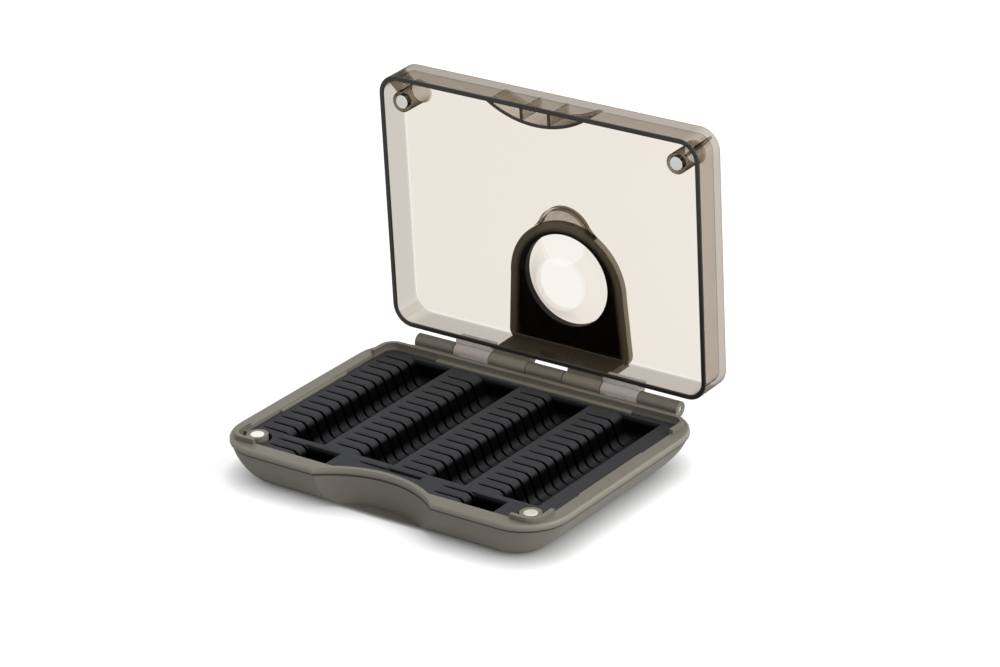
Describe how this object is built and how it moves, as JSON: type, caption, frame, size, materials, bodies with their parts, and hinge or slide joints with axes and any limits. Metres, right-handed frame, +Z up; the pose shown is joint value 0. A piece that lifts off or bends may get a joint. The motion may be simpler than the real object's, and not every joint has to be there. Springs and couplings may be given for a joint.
{
  "type": "fly box",
  "caption": "Pocket fly box: a shallow olive tray with a slotted black insert, a clear hinged lid held shut by magnets, and a hang tab on the hinge.",
  "frame": {"origin": "centre of the tray's flat underside", "axes": "+X along the hinge, +Y towards the hinge, +Z up; the thumb scoop faces -Y; the lid is stored open"},
  "size_m": [0.1156, 0.1007, 0.098],
  "materials": {
    "olive_plastic": "satin",
    "black_insert": "matte",
    "clear_plastic": "gloss",
    "pin_steel": "satin",
    "magnet_nickel": "polished"
  },
  "bodies": {
    "tray": {"base_tray": "olive_plastic", "slotted_insert": "black_insert", "hinge_pin": "pin_steel", "tray_magnet_left": "magnet_nickel", "tray_magnet_right": "magnet_nickel"},
    "lid": {"lid": "clear_plastic", "lid_magnet_left": "magnet_nickel", "lid_magnet_right": "magnet_nickel"},
    "tab": {"hang_tab": "olive_plastic", "tab_pad": "black_insert"}
  },
  "joints": [
    {"name": "lid_hinge", "type": "hinge", "parent": "tray", "child": "lid", "pos_m": [0, 0.0444, 0.01274], "axis": [1, 0, 0], "range_deg": [0, 88.34]},
    {"name": "tab_hinge", "type": "hinge", "parent": "lid", "child": "tab", "pos_m": [0, 0.0444, 0.01274], "axis": [-1, 0, 0], "range_deg": [0, 60]}
  ]
}
